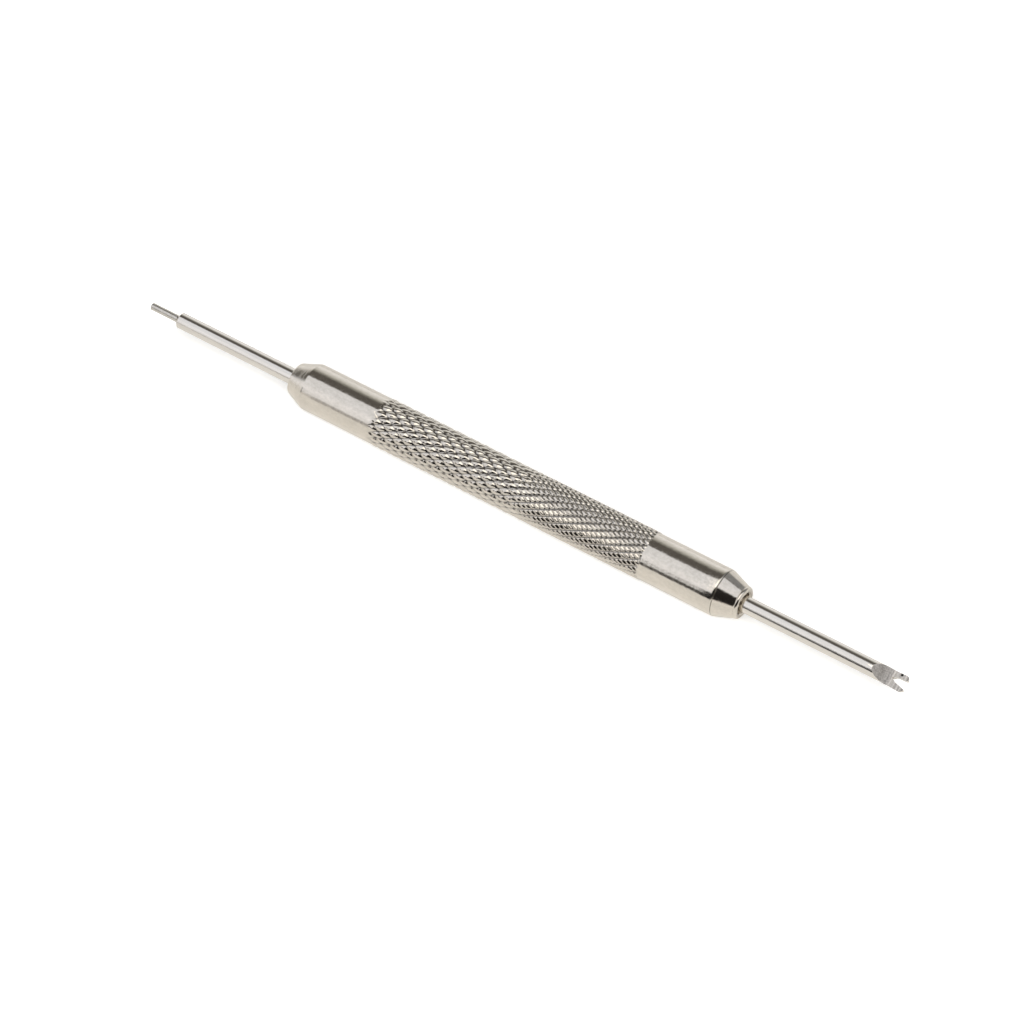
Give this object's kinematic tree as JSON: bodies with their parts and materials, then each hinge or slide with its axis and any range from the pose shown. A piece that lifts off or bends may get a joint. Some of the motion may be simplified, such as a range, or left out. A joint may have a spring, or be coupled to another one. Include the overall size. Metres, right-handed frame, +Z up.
{
  "type": "spring bar tool",
  "caption": "Slim watchmaker's hand tool: knurled round handle with a fine pin at one end and a notched fork at the other, for fitting and removing spring bars.",
  "frame": {"origin": "on the surface that the tool lies on, under the middle of its length", "axes": "+X along the tool's axis from the pin to the fork, +Z up from the surface it lies on; the fork's ground face is turned 25 degrees from +Z towards -Y"},
  "size_m": [0.1068, 0.0062, 0.0062],
  "materials": {
    "handle_nickel": "nickel plate, semi-bright, knurled in the middle",
    "pin_steel": "plated shaft, turned bare pin",
    "fork_steel": "plated shaft, cross-ground bare blade"
  },
  "bodies": {
    "root": {"handle": "handle_nickel", "pin_bit": "pin_steel", "fork_bit": "fork_steel"}
  },
  "joints": []
}
